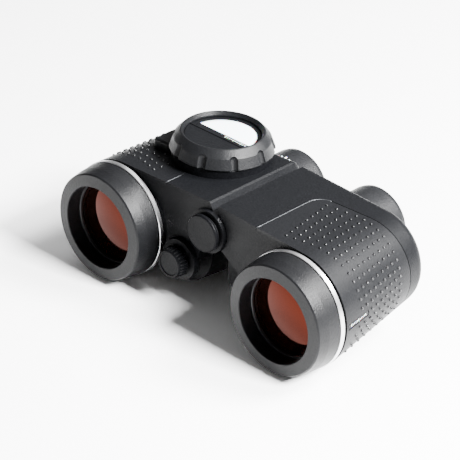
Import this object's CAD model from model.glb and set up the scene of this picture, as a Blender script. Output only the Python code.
import math

import bpy
from mathutils import Matrix, Vector

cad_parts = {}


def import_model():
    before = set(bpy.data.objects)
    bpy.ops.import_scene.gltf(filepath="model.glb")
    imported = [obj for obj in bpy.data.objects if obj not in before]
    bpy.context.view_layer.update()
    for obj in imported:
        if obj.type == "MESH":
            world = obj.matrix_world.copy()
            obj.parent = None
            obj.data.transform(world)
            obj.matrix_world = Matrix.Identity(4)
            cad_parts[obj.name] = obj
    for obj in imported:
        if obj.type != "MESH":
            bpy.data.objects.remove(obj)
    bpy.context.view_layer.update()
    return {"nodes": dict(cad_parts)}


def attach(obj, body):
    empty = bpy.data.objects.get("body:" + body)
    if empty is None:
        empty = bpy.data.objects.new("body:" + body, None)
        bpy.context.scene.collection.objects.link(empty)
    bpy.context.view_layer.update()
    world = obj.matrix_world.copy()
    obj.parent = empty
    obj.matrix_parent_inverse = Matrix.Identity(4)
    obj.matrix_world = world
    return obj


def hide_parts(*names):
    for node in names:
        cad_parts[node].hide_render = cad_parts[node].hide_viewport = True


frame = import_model()
nodes = frame["nodes"]
MM = 0.001
LENGTH = 0.134
HALVES = (("left", -1), ("right", 1))
# x and z of the axes along the object, in millimetres; the left half mirrors the first two
OBJECTIVE = (68.3, 34.8)
EYEPIECE = (30.6, 30.6)
HINGE = (0, 54.5)
BATTERY = (-19.5, 28.4)
# x and station of the compass's upright axis
COMPASS = (-35, 67)
# height of the flat top over the objective's axis, and how it slopes
DECK = 69.6
DECK_SLOPE = math.radians(2.17)
SEGMENTS = 96


def at(x, station, z):
    """A point from millimetres, with the station counted from the front of the hoods."""
    return Vector((x * MM, station * MM - LENGTH / 2, z * MM))


# ---- materials ---------------------------------------------------------------------------

class Shader:
    """A principled material with short calls for the nodes that it is made of."""

    def __init__(self, name, **values):
        self.material = bpy.data.materials.new(name)
        self.material.use_nodes = True
        self.tree = self.material.node_tree
        self.shader = self.tree.nodes["Principled BSDF"]
        for socket, value in values.items():
            self.shader.inputs[socket.replace("_", " ")].default_value = value
        self.coords = self.tree.nodes.new("ShaderNodeTexCoord").outputs["Object"]
        self.height = None

    def link(self, source, target):
        self.tree.links.new(source, target)

    def node(self, kind, **settings):
        node = self.tree.nodes.new(kind)
        for name, value in settings.items():
            setattr(node, name, value)
        return node

    def noise(self, scale, detail=3.0, roughness=0.5, stretch=(1, 1, 1)):
        mapping = self.node("ShaderNodeMapping")
        mapping.inputs["Scale"].default_value = stretch
        self.link(self.coords, mapping.inputs["Vector"])
        noise = self.node("ShaderNodeTexNoise")
        noise.inputs["Scale"].default_value = scale
        noise.inputs["Detail"].default_value = detail
        noise.inputs["Roughness"].default_value = roughness
        self.link(mapping.outputs["Vector"], noise.inputs["Vector"])
        return noise.outputs["Fac"]

    def cells(self, scale):
        voronoi = self.node("ShaderNodeTexVoronoi")
        voronoi.inputs["Scale"].default_value = scale
        self.link(self.coords, voronoi.inputs["Vector"])
        return voronoi.outputs["Distance"]

    def ranged(self, source, low, high, start=0.3, end=0.7):
        """A value from a 0 to 1 source, spread between low and high."""
        spread = self.node("ShaderNodeMapRange")
        for socket, value in (("From Min", start), ("From Max", end), ("To Min", low),
                              ("To Max", high)):
            spread.inputs[socket].default_value = value
        self.link(source, spread.inputs["Value"])
        return spread.outputs["Result"]

    def tinted(self, source, *stops):
        """A colour from a 0 to 1 source through (place, colour) stops."""
        ramp = self.node("ShaderNodeValToRGB").color_ramp
        while len(ramp.elements) < len(stops):
            ramp.elements.new(0.5)
        for element, (place, colour) in zip(ramp.elements, stops):
            element.position = place
            element.color = (*colour, 1)
        owner = self.tree.nodes[-1]
        self.link(source, owner.inputs["Fac"])
        return owner.outputs["Color"]

    def set(self, socket, source):
        self.link(source, self.shader.inputs[socket])
        return self

    def bump(self, source, depth, strength=1.0):
        """One more layer of relief, depth in metres."""
        bump = self.node("ShaderNodeBump")
        bump.inputs["Strength"].default_value = strength
        bump.inputs["Distance"].default_value = depth
        self.link(source, bump.inputs["Height"])
        if self.height is not None:
            self.link(self.height, bump.inputs["Normal"])
        self.height = bump.outputs["Normal"]
        self.link(self.height, self.shader.inputs["Normal"])
        return self


def worn(material, source, dark, light, low=0.35, high=0.65):
    """The base colour, from dark to light as the source goes from low to high."""
    return material.set("Base Color", material.tinted(source, (low, dark), (high, light)))


def shaded(colour, share):
    return tuple(share * c for c in colour)


def satin_paint(name, dark, light, roughness, grain=1700, shine=0.08):
    """Fine grained satin paint over metal or moulded plastic."""
    material = Shader(name, IOR=1.5, Specular_IOR_Level=shine)
    worn(material, material.noise(1300, 5, 0.7), dark, light, 0.4, 0.6)
    material.set("Roughness", material.ranged(material.noise(70, 4), roughness - 0.04,
                                              roughness + 0.05))
    material.bump(material.cells(grain), 0.00006, 0.8)
    material.bump(material.noise(grain * 0.65, 2), 0.00015, 0.85)
    return material.material


def turned_metal(name, colour, roughness, metallic=1.0):
    """Metal with the fine lines that turning leaves round an axis along Y."""
    material = Shader(name, Metallic=metallic)
    grooves = material.noise(1.0, 2, 0.6, (40, 5200, 40))
    worn(material, grooves, shaded(colour, 0.8), colour)
    material.set("Roughness", material.ranged(grooves, roughness - 0.06, roughness + 0.08))
    material.bump(grooves, 0.000006, 0.5)
    return material.material


def threaded(name, colour, roughness, pitch):
    """Black metal with the light trap rings cut inside a tube along Y."""
    material = Shader(name, Metallic=0.3)
    split = material.node("ShaderNodeSeparateXYZ")
    material.link(material.coords, split.inputs["Vector"])
    turns = material.node("ShaderNodeMath", operation="MULTIPLY")
    turns.inputs[1].default_value = 2 * math.pi / pitch
    material.link(split.outputs["Y"], turns.inputs[0])
    wave = material.node("ShaderNodeMath", operation="SINE")
    material.link(turns.outputs["Value"], wave.inputs[0])
    worn(material, material.noise(400), shaded(colour, 0.7), colour)
    material.set("Roughness", material.ranged(material.noise(60), roughness - 0.05,
                                              roughness + 0.05))
    material.bump(wave.outputs["Value"], pitch * 0.2, 0.8)
    return material.material


def glass(name, colour, ior=1.5, roughness=0.0):
    """Clear glass or plastic with faint smudges."""
    material = Shader(name, Transmission_Weight=1.0, IOR=ior)
    material.set("Roughness", material.ranged(material.noise(35, 4), roughness,
                                              roughness + 0.03))
    worn(material, material.noise(12), shaded(colour, 0.93), colour)
    return material.material


def mirrored_glass(name, colour, metallic):
    """Coated glass over a dark tube: it reflects like a dim coloured mirror."""
    material = Shader(name, Metallic=metallic, IOR=1.1)
    worn(material, material.noise(20), shaded(colour, 0.9), colour)
    material.set("Roughness", material.ranged(material.noise(30, 4), 0.03, 0.08))
    return material.material


def frosted(name, colour):
    """Milky plastic that lets light down to the card below it."""
    material = Shader(name, Subsurface_Weight=0.3, Subsurface_Scale=0.001, Coat_Weight=0.3,
                      Coat_Roughness=0.05)
    worn(material, material.noise(40), shaded(colour, 0.97), colour)
    material.set("Roughness", material.ranged(material.noise(30), 0.18, 0.24))
    return material.material


SHELL = satin_paint("shell_paint", (0.0014, 0.0015, 0.0018), (0.0034, 0.0036, 0.0042),
                    0.43, shine=0.055)
ARMOUR = satin_paint("armour_paint", (0.0016, 0.0017, 0.002), (0.0038, 0.004, 0.0047),
                     0.44, shine=0.085)
NUBS = satin_paint("nub_paint", (0.0018, 0.0019, 0.0022), (0.004, 0.0042, 0.0049),
                   0.26, shine=0.3)
HOOD = satin_paint("hood_paint", (0.0014, 0.0015, 0.0017), (0.0036, 0.0037, 0.0043),
                   0.4, shine=0.115)
CUP = satin_paint("eyecup_rubber", (0.003, 0.0031, 0.0035), (0.006, 0.0062, 0.007),
                  0.42, 1800, shine=0.13)
DARK = satin_paint("moulded_black", (0.0013, 0.0014, 0.0017), (0.0028, 0.0029, 0.0034),
                   0.38, shine=0.035)
BEZEL = satin_paint("bezel_rubber", (0.002, 0.0021, 0.0024), (0.0042, 0.0044, 0.005),
                    0.4, 2200, shine=0.14)
MASK = satin_paint("mask_black", (0.0016, 0.0017, 0.002), (0.0032, 0.0034, 0.004),
                   0.34)
TRIM = turned_metal("bright_ring", (0.62, 0.62, 0.63), 0.30)
EDGE = turned_metal("bright_edge", (0.06, 0.062, 0.066), 0.46)
STEEL = turned_metal("plain_steel", (0.3, 0.3, 0.31), 0.35)
BLACK_STEEL = turned_metal("black_oxide_steel", (0.03, 0.03, 0.032), 0.35)
BLACK_METAL = turned_metal("black_anodised", (0.008, 0.0082, 0.0092), 0.42, 0.5)
BAFFLE = threaded("baffle_black", (0.004, 0.004, 0.0045), 0.42, pitch=0.0007)
BRASS = turned_metal("brass", (0.7, 0.52, 0.25), 0.35)
CLEAR = glass("clear_glass", (0.94, 0.97, 0.97))
RUBY = mirrored_glass("ruby_coated_glass", (0.025, 0.004, 0.0017), 0.93)
AMBER = mirrored_glass("amber_coated_glass", (0.009, 0.0062, 0.0056), 0.6)
CLEAR_PLASTIC = glass("clear_plastic", (0.92, 0.94, 0.95), 1.49, 0.03)
FROSTED = frosted("frosted_window", (0.86, 0.91, 0.98))
WHITE = frosted("white_mark", (0.85, 0.86, 0.88))

FINISHES = {
    "housing": SHELL, "rear_cover": SHELL, "armour": ARMOUR, "hood": HOOD,
    "trim_ring": TRIM, "lens_cell": BAFFLE, "lens_ring": BLACK_METAL,
    "objective_seal": CUP, "objective_lens": RUBY, "rear_prism": CLEAR,
    "front_prism": CLEAR, "prism_shelf": BLACK_METAL, "cover_screws": BLACK_STEEL,
    "strap_lug": SHELL, "focus_ring": BLACK_METAL, "eyepiece_tube": BLACK_METAL,
    "field_lens": CLEAR, "eye_lens": AMBER, "eyecup": CUP, "left_reticle": CLEAR,
    "hinge_shaft": STEEL, "tripod_bush": BLACK_METAL, "hinge_rear_cap": DARK,
    "hinge_washers": BRASS, "hinge_set_screw": STEEL, "tripod_cap": DARK,
    "battery_cap": DARK, "battery": STEEL, "battery_contact": BRASS,
    "compass_base": DARK, "compass_capsule": CLEAR_PLASTIC, "compass_pivot": BRASS,
    "compass_card": WHITE, "compass_bezel": BEZEL, "light_window": FROSTED,
    "mask_plate": MASK, "compass_lamp": CLEAR_PLASTIC, "sight_block": HOOD,
    "sight_prism": CLEAR, "label_plate": MASK,
}


def finish_of(name):
    """A node's material, by its name or by its name without the side."""
    plain = name.split("_", 1)[1] if name.split("_")[0] in ("left", "right") else name
    return FINISHES.get(name) or FINISHES[plain]


for name, thing in nodes.items():
    thing.data.materials.clear()
    thing.data.materials.append(finish_of(name))
    for face in thing.data.polygons:
        face.use_smooth = True

# ---- pieces built here -------------------------------------------------------------------

def piece(name, verts, faces, material, body, paint):
    """A mesh piece that rides on a CAD body."""
    mesh = bpy.data.meshes.new(name)
    mesh.from_pydata(verts, [], faces)
    mesh.materials.append(material)
    for face in mesh.polygons:
        face.use_smooth = True
    thing = bpy.data.objects.new(name, mesh)
    bpy.context.scene.collection.objects.link(thing)
    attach(thing, body)
    return thing


def barrel(station):
    """Centre x, centre z and radius of the right barrel at a station, in millimetres."""
    share = (station - 21) / 74
    radius = 34.8 - 5.8 * share
    return OBJECTIVE[0] - 0.8 * share, DECK - radius, radius


def top_height(x):
    """Height of the right half's flat top, which rises towards the hinge."""
    return DECK + (OBJECTIVE[0] - x) * math.tan(DECK_SLOPE)


def nub_rows():
    """For each row of nubs, where each nub stands on the right half and which way it points."""
    flat = Vector((math.sin(DECK_SLOPE), 0, math.cos(DECK_SLOPE)))
    flat_rows, round_rows, gaps = 4, 14, 8
    for row in range(flat_rows):
        ends = ((50.9 + 5.1 * row, 27.4 + 1.35 * row), (44.4 + 6.03 * row, 68.3 + 1.37 * row))
        for step in range(gaps + 1):
            x, station = (a + (b - a) * step / gaps for a, b in zip(*ends))
            yield x, station, top_height(x), flat
    for row in range(round_rows):
        turns = (84.4 - 8.95 * row, 89.7 - 10 * row + 0.1 * row * row)
        stations = (31.9 + 0.66 * row - 0.03 * row * row - 1.8 * max(0, row - 9),
                    72.7 - 0.2 * row)
        for step in range(gaps + 1):
            angle, station = (a + (b - a) * step / gaps for a, b in (turns, stations))
            turn = math.radians(angle)
            x, z, radius = barrel(station)
            out = Vector((math.cos(turn), 0.078, math.sin(turn))).normalized()
            height = z + radius * math.sin(turn)
            if row == 9 and station < 43.5:  # the label plate is here
                continue
            if angle > 87.8:  # past the barrel, on the flat top
                height = top_height(x + radius * math.cos(turn))
                out = flat
            yield x + radius * math.cos(turn), station, height, out


def covered(x, station):
    """Whether the compass or the block beside it stands over this place on the left half."""
    if math.hypot(x + COMPASS[0], station - COMPASS[1]) < 30.8:
        return True
    return 55.8 < x < 72.7 and 46.3 < station < 87.2


def nubs(side, sign):
    """The raised dots of one half's grip, each a low dome sunk a little into the armour."""
    profile = ((0.92, -0.2), (0.86, 0.3), (0.62, 0.62), (0.3, 0.78))
    around = 12
    verts, faces = [], []
    for x, station, z, out in nub_rows():
        if sign < 0 and z > 66 and covered(x, station):
            continue
        out = Vector((sign * out.x, out.y, out.z))
        across = out.orthogonal().normalized()
        other = out.cross(across)
        first = len(verts)
        middle = at(sign * x, station, z)
        for radius, height in profile:
            for n in range(around):
                turn = 2 * math.pi * n / around
                verts.append(middle + MM * (radius * math.cos(turn) * across
                                            + radius * math.sin(turn) * other + height * out))
        verts.append(middle + MM * 0.82 * out)
        for level in range(len(profile) - 1):
            low = first + around * level
            for n in range(around):
                after = (n + 1) % around
                faces.append((low + n, low + after, low + around + after, low + around + n))
        top = first + around * (len(profile) - 1)
        for n in range(around):
            faces.append((top + n, top + (n + 1) % around, top + around))
    piece(f"{side}_nubs", verts, faces, NUBS, f"{side}_half", "armour")


def swept(outlines, closed=False):
    """Verts and faces of a bar whose outline is given at each stage along it."""
    count = len(outlines[0])
    verts = [point for outline in outlines for point in outline]
    faces = []
    stages = len(outlines)
    for stage in range(stages if closed else stages - 1):
        low, high = stage * count, (stage + 1) % stages * count
        for n in range(count):
            after = (n + 1) % count
            faces.append((low + n, low + after, high + after, high + n))
    if not closed:
        faces.append(tuple(range(count))[::-1])
        faces.append(tuple(range((stages - 1) * count, stages * count)))
    return verts, faces


def joined(shapes):
    """The verts and faces of several shapes, as those of one."""
    verts, faces = [], []
    for shape_verts, shape_faces in shapes:
        faces += [tuple(len(verts) + n for n in face) for face in shape_faces]
        verts += shape_verts
    return verts, faces


def groove_strip(side, sign):
    """The bright bead in the armour's inner seam: straight, then fading round its corner."""
    steps, radius, corner = 12, 10.2, (45, 64.1)
    path = [(corner[0] - radius, 20.9 + 43.2 * step / steps, 1, 0, 1) for step in range(steps)]
    for step in range(steps + 1):
        turn = math.radians(6.5 * step)
        path.append((corner[0] - radius * math.cos(turn), corner[1] + radius * math.sin(turn),
                     math.cos(turn), -math.sin(turn), 1 - 0.8 * step / steps))
    if sign < 0:  # the compass base covers the rest on the left
        path = path[:5]
    outlines = []
    for x, station, inward_x, inward_y, share in path:
        outlines.append([at(sign * (x + reach * inward_x), station + reach * inward_y,
                            top_height(x + reach * inward_x) + rise)
                         for reach, rise in ((-0.26, -0.5), (-0.26, 0.02), (-0.1, 0.12 * share),
                                             (0.1, 0.12 * share), (0.26, 0.02), (0.26, -0.5))])
    piece(f"{side}_groove_strip", *swept(outlines), EDGE, f"{side}_half", "trim")


def ring(axis, sign, outline):
    """A turned ring about an axis along Y; the outline holds radius and station."""
    outlines = []
    for n in range(SEGMENTS):
        turn = 2 * math.pi * n / SEGMENTS
        outlines.append([at(sign * axis[0] + r * math.cos(turn), station,
                            axis[1] + r * math.sin(turn)) for r, station in outline])
    return swept(outlines, closed=True)


def bars(places):
    """Small upright bars: each place holds a middle, an along, a beside, an out vector."""
    shapes = []
    for middle, along, beside, out in places:
        shapes.append(swept([[middle + end * along + b * beside + o * out
                              for b, o in ((-1, -1), (-1, 0.6), (-0.6, 1), (0.6, 1), (1, 0.6),
                                           (1, -1))] for end in (-1, 1)]))
    return joined(shapes)


def radial_bars(axis, bars_around):
    """Bars round an axis along Y: each has a turn and its stages, a station with corners."""
    shapes = []
    for turn, stages in bars_around:
        radial = Vector((math.cos(turn), 0, math.sin(turn)))
        beside = Vector((-math.sin(turn), 0, math.cos(turn)))
        shapes.append(swept([[at(axis[0], station, axis[1]) + MM * (b * beside + r * radial)
                              for b, r in corners] for station, corners in stages]))
    return joined(shapes)


def cap_band():
    """The raised band round the tripod cap."""
    band = [(11.0, 14.75), (11.2, 14.85), (11.28, 15.1), (11.28, 16.4), (11.2, 16.6),
            (11.0, 16.7)]
    piece("tripod_cap_band", *ring(HINGE, 1, band), DARK, "tripod_cap", "black_plastic")


def knob_ribs():
    """Tapered ribs round the battery cap, standing higher towards the rear."""
    count = 26
    stages = []
    for station, half, rise in ((9.7, 0.35, 8.5), (10.4, 0.5, 8.85), (15.4, 0.55, 9.25),
                                (15.8, 0.45, 9.0)):
        stages.append((station, [(share * half, r) for share, r in
                                 ((-1.2, 8.1), (-0.9, rise - 0.2), (-0.4, rise), (0.4, rise),
                                  (0.9, rise - 0.2), (1.2, 8.1))]))
    ribs = radial_bars(BATTERY, [(2 * math.pi * n / count, stages) for n in range(count)])
    piece("battery_cap_ribs", *ribs, DARK, "battery_cap", "black_plastic")


def light_window():
    """The frosted window, a slightly domed disc cut off square along its front."""
    radius, front, middle = 20, 1.8, 9
    limit = math.asin(front / radius)
    turns = [limit + (math.pi - 2 * limit) * n / 48 for n in range(49)]
    edge = [(radius * math.cos(turn), radius * math.sin(turn)) for turn in turns]
    half_front = radius * math.cos(limit)
    edge += [(half_front * (n / 8 - 1), front) for n in range(1, 16)]
    outlines = []
    for share, height in ((1, 83.3), (1, 83.93), (0.985, 84.05), (0.8, 84.12), (0.55, 84.19),
                          (0.25, 84.23)):
        outlines.append([at(share * x + COMPASS[0],
                            middle + COMPASS[1] + share * (station - middle), height)
                         for x, station in edge])
    window = piece("frosted_window", *swept(outlines), FROSTED, "left_half", "white_plastic")
    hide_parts("light_window")


def window_ticks():
    """A short row of plain ticks in the low strip in front of the light window."""
    places = []
    for n in range(12):
        length = 0.9 if n % 4 == 0 else 0.55
        places.append((at(-33 + 1.5 * n, 67.3, 84.02), Vector((0, length * MM, 0)),
                       Vector((0.14 * MM, 0, 0)), Vector((0, 0, 0.07 * MM))))
    piece("window_ticks", *bars(places), WHITE, "left_half", "white_plastic")


def turned_glass(name, axis, sign, outline, material, body):
    """A lens turned about an axis along Y; the outline starts and ends on the axis."""
    inner = outline[1:-1]
    count = len(inner)
    verts = ring(axis, sign, inner)[0]
    front_pole = len(verts)
    verts += [at(sign * axis[0], outline[end][1], axis[1]) for end in (0, -1)]
    skin, caps = [], []
    for n in range(SEGMENTS):
        low, high = n * count, (n + 1) % SEGMENTS * count
        skin += [(low + k, low + k + 1, high + k + 1, high + k) for k in range(count - 1)]
        caps += [(low, high, front_pole), (high + count - 1, low + count - 1, front_pole + 1)]
    return piece(name, verts, skin + caps, material, body, "coated_glass")


def lens_outline(radius, front, rear, front_curve, rear_curve):
    """A lens's half section: both faces as arcs, from the axis out and back."""
    steps = 10
    def sag(curve, r):
        return math.copysign(abs(curve) - math.sqrt(curve * curve - r * r), curve)

    reach = [radius * n / steps for n in range(steps + 1)]
    front_face = [(r, front - sag(front_curve, radius) + sag(front_curve, r)) for r in reach]
    rear_face = [(r, rear + sag(rear_curve, radius) - sag(rear_curve, r)) for r in reach]
    return front_face + rear_face[::-1]


def lenses(side, sign):
    """The polished glass: the objective and the lens at the eye."""
    front = turned_glass(f"{side}_objective_glass", OBJECTIVE, sign,
                         lens_outline(27.15, 12.25, 20.15, 120, 300), RUBY, f"{side}_half")
    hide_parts(f"{side}_objective_lens")
    eye = turned_glass(f"{side}_eye_glass", EYEPIECE, sign,
                       lens_outline(13.45, 120.4, 123.2, 38, 45), AMBER, f"{side}_eyepiece")
    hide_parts(f"{side}_eye_lens")


def label_frame():
    """A thin rim round the blank label plate, with plain ticks inside it."""
    turn = math.radians(3.7)
    ends = []
    for station in (22.5, 41.1):
        x, z, radius = barrel(station)
        ends.append(at(x + radius * math.cos(turn), station, z + radius * math.sin(turn)))
    along = (ends[1] - ends[0]).normalized()
    up = Vector((-math.sin(turn), 0, math.cos(turn)))
    out = along.cross(up).normalized()
    up = out.cross(along)
    middle = (ends[0] + ends[1]) / 2 - 0.16 * MM * out
    half = (ends[1] - ends[0]).length / 2
    thin = 0.13 * MM
    rim = [(middle + s * 1.5 * MM * up, (half - 0.2 * MM) * along, thin * up, 0.12 * MM * out)
           for s in (-1, 1)]
    rim += [(middle + s * (half - 0.3 * MM) * along, 1.5 * MM * up, thin * along,
             0.12 * MM * out) for s in (-1, 1)]
    ticks = []
    for n in range(11):
        height = (0.7 if n % 5 == 0 else 0.4) * MM
        ticks.append((middle + (n - 5) * 1.3 * MM * along, height * up, 0.17 * MM * along,
                      0.1 * MM * out))
    piece("label_rim", *bars(rim), DARK, "right_half", "black_plastic")
    piece("label_ticks", *bars(ticks), WHITE, "right_half", "white_plastic")


def index_marks():
    """Plain white dashes round the front of the left eyepiece, longer every fourth."""
    corners = [(-0.55, 21.9), (-0.55, 22.3), (0, 22.34), (0.55, 22.3), (0.55, 21.9)]
    marks = []
    for n in range(-8, 9):
        length = 2.4 if n % 4 == 0 else 1.7
        marks.append((math.radians(90 + 7.7 * n), [(117, corners), (117 + length, corners)]))
    shape = radial_bars((-EYEPIECE[0], EYEPIECE[1]), marks)
    piece("left_index_marks", *shape, WHITE, "left_eyepiece", "white_plastic")


for half, hand in HALVES:
    nubs(half, hand)
    groove_strip(half, hand)
    lenses(half, hand)
index_marks()
label_frame()
knob_ribs()
light_window()
window_ticks()
cap_band()

# ---- floor, light, camera ----------------------------------------------------------------


def floor():
    """A wide pale floor just under the object."""
    half, drop = 4, -0.0001
    mesh = bpy.data.meshes.new("floor")
    mesh.from_pydata([(-half, -half, drop), (half, -half, drop), (half, half, drop),
                      (-half, half, drop)], [], [(0, 1, 2, 3)])
    thing = bpy.data.objects.new("floor", mesh)
    bpy.context.scene.collection.objects.link(thing)
    material = Shader("floor_white", Specular_IOR_Level=0.25)
    worn(material, material.noise(3), (0.92, 0.92, 0.92), (0.94, 0.94, 0.94))
    material.set("Roughness", material.ranged(material.noise(5), 0.55, 0.6))
    mesh.materials.append(material.material)


def area_light(name, place, aim, size, power):
    """A square light of this size, at a place and turned towards its aim."""
    data = bpy.data.lights.new(name, "AREA")
    data.shape = "SQUARE"
    data.size = size
    data.energy = power
    thing = bpy.data.objects.new(name, data)
    bpy.context.scene.collection.objects.link(thing)
    thing.location = place
    thing.rotation_euler = (Vector(aim) - Vector(place)).to_track_quat("-Z", "Y").to_euler()


def camera():
    """A long lens from the front right and above, with a slight roll."""
    azimuth, elevation, roll = (math.radians(a) for a in (41.97, 30.05, 2.75))
    back = Vector((math.sin(azimuth) * math.cos(elevation),
                   -math.cos(azimuth) * math.cos(elevation), math.sin(elevation)))
    right = Vector((math.cos(azimuth), math.sin(azimuth), 0))
    up = back.cross(right)
    level = math.cos(roll) * right + math.sin(roll) * up
    upright = -math.sin(roll) * right + math.cos(roll) * up
    data = bpy.data.cameras.new("camera")
    data.sensor_width = 36
    data.lens = 172.85
    data.clip_start = 0.05
    data.clip_end = 30
    thing = bpy.data.objects.new("camera", data)
    bpy.context.scene.collection.objects.link(thing)
    turn = Matrix((level, upright, back)).transposed().to_4x4()
    target = Vector((-20.59, -6.0, 29.97)) * MM
    distance = 1.2825
    thing.matrix_world = Matrix.Translation(target + back * distance) @ turn
    bpy.context.scene.camera = thing


def world(colour, strength):
    scene_world = bpy.data.worlds.new("studio")
    scene_world.use_nodes = True
    background = scene_world.node_tree.nodes["Background"]
    background.inputs["Color"].default_value = (*colour, 1)
    background.inputs["Strength"].default_value = strength
    bpy.context.scene.world = scene_world


floor()
world((1.0, 1.0, 1.0), 0.35)
AIM = (0, 0, 0.02)
area_light("key", (0.95, 0.07, 0.88), AIM, size=0.3, power=180)
area_light("rim", (0.62, 0.58, 0.99), AIM, size=0.5, power=100)
area_light("top", (-0.15, 0.75, 1.15), AIM, size=1.1, power=10)
camera()
